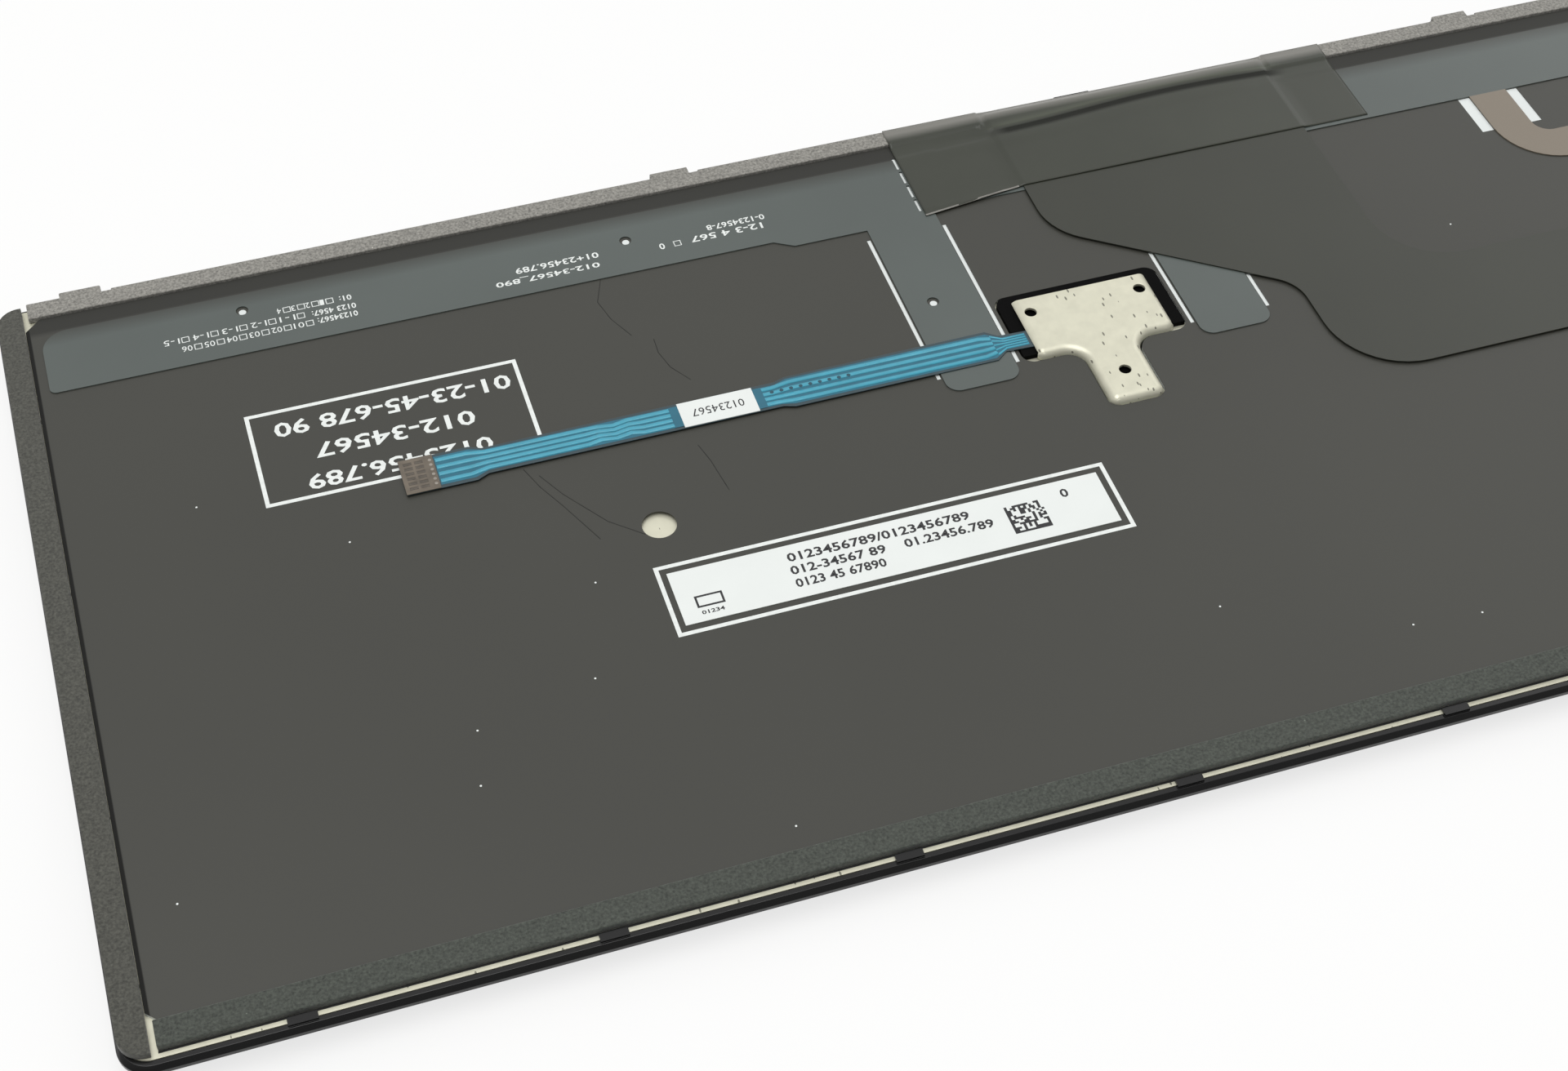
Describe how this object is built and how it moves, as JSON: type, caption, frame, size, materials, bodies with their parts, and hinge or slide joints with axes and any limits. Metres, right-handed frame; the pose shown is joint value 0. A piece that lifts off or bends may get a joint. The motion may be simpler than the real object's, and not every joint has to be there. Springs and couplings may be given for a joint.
{
  "type": "laptop keyboard",
  "caption": "Framed backlit laptop keyboard with a pointing stick, lying keys down: key frame, scissor keys, switch membrane, base plate, lamp strip, films, gaskets and flat tails.",
  "frame": {"origin": "under the middle of the keyboard, level with the tops of the keycaps that it lies on", "axes": "+X along the key rows to the typist's right, +Y towards the edge with the space bar, +Z out of the underside"},
  "size_m": [0.2832, 0.109, 0.0055],
  "materials": {
    "bezel": "gloss black moulding",
    "keycap": "fine matt black",
    "link": "natural acetal",
    "rubber": "silicone",
    "membrane": "coated polyester",
    "plate": "bare pressed sheet",
    "guide": "clear sheet",
    "white_film": "white film",
    "dark_film": "matt black film",
    "grey_flex": "matt grey coverlay",
    "lamp": "lamp package",
    "tape": "smooth tape",
    "gasket": "gritty non-woven strip",
    "board": "black solder mask",
    "stick_rubber": "matt rubber",
    "blue_flex": "blue polyimide over traces",
    "stiffener": "polyimide stiffener",
    "paper": "white label stock"
  },
  "bodies": {
    "frame": {"bezel": "bezel", "other_keycaps": "keycap", "outer_links": "link", "inner_links": "link", "rubber_domes": "rubber", "switch_membrane": "membrane", "base_plate": "plate", "light_guide": "guide", "reflector_sheet": "white_film", "back_film": "dark_film", "led_flex": "grey_flex", "leds": "lamp", "tail_cover_tape": "tape", "front_gaskets": "gasket", "rear_gasket": "gasket", "left_gasket": "gasket", "right_gasket": "gasket", "stick_bracket": "plate", "stick_sensor": "board", "stick_cap": "stick_rubber", "stick_ribbon": "blue_flex", "ribbon_stiffener": "stiffener", "ribbon_label": "paper", "id_label": "paper", "membrane_tail_stiffener": "stiffener", "led_tail_stiffener": "stiffener"},
    "key_a": {"key_a": "keycap"},
    "key_b": {"key_b": "keycap"},
    "key_c": {"key_c": "keycap"},
    "key_d": {"key_d": "keycap"},
    "key_e": {"key_e": "keycap"},
    "key_f": {"key_f": "keycap"},
    "key_g": {"key_g": "keycap"},
    "key_h": {"key_h": "keycap"},
    "key_i": {"key_i": "keycap"},
    "key_j": {"key_j": "keycap"},
    "key_k": {"key_k": "keycap"},
    "key_l": {"key_l": "keycap"},
    "key_m": {"key_m": "keycap"},
    "key_n": {"key_n": "keycap"},
    "key_o": {"key_o": "keycap"},
    "key_p": {"key_p": "keycap"},
    "key_q": {"key_q": "keycap"},
    "key_r": {"key_r": "keycap"},
    "key_s": {"key_s": "keycap"},
    "key_t": {"key_t": "keycap"},
    "key_u": {"key_u": "keycap"},
    "key_v": {"key_v": "keycap"},
    "key_w": {"key_w": "keycap"},
    "key_x": {"key_x": "keycap"},
    "key_y": {"key_y": "keycap"},
    "key_z": {"key_z": "keycap"},
    "key_space": {"key_space": "keycap"},
    "key_enter": {"key_enter": "keycap"},
    "key_shift_left": {"key_shift_left": "keycap"},
    "key_shift_right": {"key_shift_right": "keycap"},
    "key_up": {"key_up": "keycap"},
    "key_down": {"key_down": "keycap"},
    "key_left": {"key_left": "keycap"},
    "key_right": {"key_right": "keycap"}
  },
  "joints": [
    {"name": "press_a", "type": "slide", "parent": "frame", "child": "key_a", "axis": [0, 0, 1], "range_m": [0, 0.0015], "stiffness_N_per_m": 400, "springref_m": -0.0005, "deforming": ["rubber_domes", "outer_links", "inner_links"]},
    {"name": "press_b", "type": "slide", "parent": "frame", "child": "key_b", "axis": [0, 0, 1], "range_m": [0, 0.0015], "stiffness_N_per_m": 400, "springref_m": -0.0005, "deforming": ["rubber_domes", "outer_links", "inner_links"]},
    {"name": "press_c", "type": "slide", "parent": "frame", "child": "key_c", "axis": [0, 0, 1], "range_m": [0, 0.0015], "stiffness_N_per_m": 400, "springref_m": -0.0005, "deforming": ["rubber_domes", "outer_links", "inner_links"]},
    {"name": "press_d", "type": "slide", "parent": "frame", "child": "key_d", "axis": [0, 0, 1], "range_m": [0, 0.0015], "stiffness_N_per_m": 400, "springref_m": -0.0005, "deforming": ["rubber_domes", "outer_links", "inner_links"]},
    {"name": "press_e", "type": "slide", "parent": "frame", "child": "key_e", "axis": [0, 0, 1], "range_m": [0, 0.0015], "stiffness_N_per_m": 400, "springref_m": -0.0005, "deforming": ["rubber_domes", "outer_links", "inner_links"]},
    {"name": "press_f", "type": "slide", "parent": "frame", "child": "key_f", "axis": [0, 0, 1], "range_m": [0, 0.0015], "stiffness_N_per_m": 400, "springref_m": -0.0005, "deforming": ["rubber_domes", "outer_links", "inner_links"]},
    {"name": "press_g", "type": "slide", "parent": "frame", "child": "key_g", "axis": [0, 0, 1], "range_m": [0, 0.0015], "stiffness_N_per_m": 400, "springref_m": -0.0005, "deforming": ["rubber_domes", "outer_links", "inner_links"]},
    {"name": "press_h", "type": "slide", "parent": "frame", "child": "key_h", "axis": [0, 0, 1], "range_m": [0, 0.0015], "stiffness_N_per_m": 400, "springref_m": -0.0005, "deforming": ["rubber_domes", "outer_links", "inner_links"]},
    {"name": "press_i", "type": "slide", "parent": "frame", "child": "key_i", "axis": [0, 0, 1], "range_m": [0, 0.0015], "stiffness_N_per_m": 400, "springref_m": -0.0005, "deforming": ["rubber_domes", "outer_links", "inner_links"]},
    {"name": "press_j", "type": "slide", "parent": "frame", "child": "key_j", "axis": [0, 0, 1], "range_m": [0, 0.0015], "stiffness_N_per_m": 400, "springref_m": -0.0005, "deforming": ["rubber_domes", "outer_links", "inner_links"]},
    {"name": "press_k", "type": "slide", "parent": "frame", "child": "key_k", "axis": [0, 0, 1], "range_m": [0, 0.0015], "stiffness_N_per_m": 400, "springref_m": -0.0005, "deforming": ["rubber_domes", "outer_links", "inner_links"]},
    {"name": "press_l", "type": "slide", "parent": "frame", "child": "key_l", "axis": [0, 0, 1], "range_m": [0, 0.0015], "stiffness_N_per_m": 400, "springref_m": -0.0005, "deforming": ["rubber_domes", "outer_links", "inner_links"]},
    {"name": "press_m", "type": "slide", "parent": "frame", "child": "key_m", "axis": [0, 0, 1], "range_m": [0, 0.0015], "stiffness_N_per_m": 400, "springref_m": -0.0005, "deforming": ["rubber_domes", "outer_links", "inner_links"]},
    {"name": "press_n", "type": "slide", "parent": "frame", "child": "key_n", "axis": [0, 0, 1], "range_m": [0, 0.0015], "stiffness_N_per_m": 400, "springref_m": -0.0005, "deforming": ["rubber_domes", "outer_links", "inner_links"]},
    {"name": "press_o", "type": "slide", "parent": "frame", "child": "key_o", "axis": [0, 0, 1], "range_m": [0, 0.0015], "stiffness_N_per_m": 400, "springref_m": -0.0005, "deforming": ["rubber_domes", "outer_links", "inner_links"]},
    {"name": "press_p", "type": "slide", "parent": "frame", "child": "key_p", "axis": [0, 0, 1], "range_m": [0, 0.0015], "stiffness_N_per_m": 400, "springref_m": -0.0005, "deforming": ["rubber_domes", "outer_links", "inner_links"]},
    {"name": "press_q", "type": "slide", "parent": "frame", "child": "key_q", "axis": [0, 0, 1], "range_m": [0, 0.0015], "stiffness_N_per_m": 400, "springref_m": -0.0005, "deforming": ["rubber_domes", "outer_links", "inner_links"]},
    {"name": "press_r", "type": "slide", "parent": "frame", "child": "key_r", "axis": [0, 0, 1], "range_m": [0, 0.0015], "stiffness_N_per_m": 400, "springref_m": -0.0005, "deforming": ["rubber_domes", "outer_links", "inner_links"]},
    {"name": "press_s", "type": "slide", "parent": "frame", "child": "key_s", "axis": [0, 0, 1], "range_m": [0, 0.0015], "stiffness_N_per_m": 400, "springref_m": -0.0005, "deforming": ["rubber_domes", "outer_links", "inner_links"]},
    {"name": "press_t", "type": "slide", "parent": "frame", "child": "key_t", "axis": [0, 0, 1], "range_m": [0, 0.0015], "stiffness_N_per_m": 400, "springref_m": -0.0005, "deforming": ["rubber_domes", "outer_links", "inner_links"]},
    {"name": "press_u", "type": "slide", "parent": "frame", "child": "key_u", "axis": [0, 0, 1], "range_m": [0, 0.0015], "stiffness_N_per_m": 400, "springref_m": -0.0005, "deforming": ["rubber_domes", "outer_links", "inner_links"]},
    {"name": "press_v", "type": "slide", "parent": "frame", "child": "key_v", "axis": [0, 0, 1], "range_m": [0, 0.0015], "stiffness_N_per_m": 400, "springref_m": -0.0005, "deforming": ["rubber_domes", "outer_links", "inner_links"]},
    {"name": "press_w", "type": "slide", "parent": "frame", "child": "key_w", "axis": [0, 0, 1], "range_m": [0, 0.0015], "stiffness_N_per_m": 400, "springref_m": -0.0005, "deforming": ["rubber_domes", "outer_links", "inner_links"]},
    {"name": "press_x", "type": "slide", "parent": "frame", "child": "key_x", "axis": [0, 0, 1], "range_m": [0, 0.0015], "stiffness_N_per_m": 400, "springref_m": -0.0005, "deforming": ["rubber_domes", "outer_links", "inner_links"]},
    {"name": "press_y", "type": "slide", "parent": "frame", "child": "key_y", "axis": [0, 0, 1], "range_m": [0, 0.0015], "stiffness_N_per_m": 400, "springref_m": -0.0005, "deforming": ["rubber_domes", "outer_links", "inner_links"]},
    {"name": "press_z", "type": "slide", "parent": "frame", "child": "key_z", "axis": [0, 0, 1], "range_m": [0, 0.0015], "stiffness_N_per_m": 400, "springref_m": -0.0005, "deforming": ["rubber_domes", "outer_links", "inner_links"]},
    {"name": "press_space", "type": "slide", "parent": "frame", "child": "key_space", "axis": [0, 0, 1], "range_m": [0, 0.0015], "stiffness_N_per_m": 400, "springref_m": -0.0005, "deforming": ["rubber_domes", "outer_links", "inner_links"]},
    {"name": "press_enter", "type": "slide", "parent": "frame", "child": "key_enter", "axis": [0, 0, 1], "range_m": [0, 0.0015], "stiffness_N_per_m": 400, "springref_m": -0.0005, "deforming": ["rubber_domes", "outer_links", "inner_links"]},
    {"name": "press_shift_left", "type": "slide", "parent": "frame", "child": "key_shift_left", "axis": [0, 0, 1], "range_m": [0, 0.0015], "stiffness_N_per_m": 400, "springref_m": -0.0005, "deforming": ["rubber_domes", "outer_links", "inner_links"]},
    {"name": "press_shift_right", "type": "slide", "parent": "frame", "child": "key_shift_right", "axis": [0, 0, 1], "range_m": [0, 0.0015], "stiffness_N_per_m": 400, "springref_m": -0.0005, "deforming": ["rubber_domes", "outer_links", "inner_links"]},
    {"name": "press_up", "type": "slide", "parent": "frame", "child": "key_up", "axis": [0, 0, 1], "range_m": [0, 0.0015], "stiffness_N_per_m": 400, "springref_m": -0.0005, "deforming": ["rubber_domes", "outer_links", "inner_links"]},
    {"name": "press_down", "type": "slide", "parent": "frame", "child": "key_down", "axis": [0, 0, 1], "range_m": [0, 0.0015], "stiffness_N_per_m": 400, "springref_m": -0.0005, "deforming": ["rubber_domes", "outer_links", "inner_links"]},
    {"name": "press_left", "type": "slide", "parent": "frame", "child": "key_left", "axis": [0, 0, 1], "range_m": [0, 0.0015], "stiffness_N_per_m": 400, "springref_m": -0.0005, "deforming": ["rubber_domes", "outer_links", "inner_links"]},
    {"name": "press_right", "type": "slide", "parent": "frame", "child": "key_right", "axis": [0, 0, 1], "range_m": [0, 0.0015], "stiffness_N_per_m": 400, "springref_m": -0.0005, "deforming": ["rubber_domes", "outer_links", "inner_links"]}
  ]
}
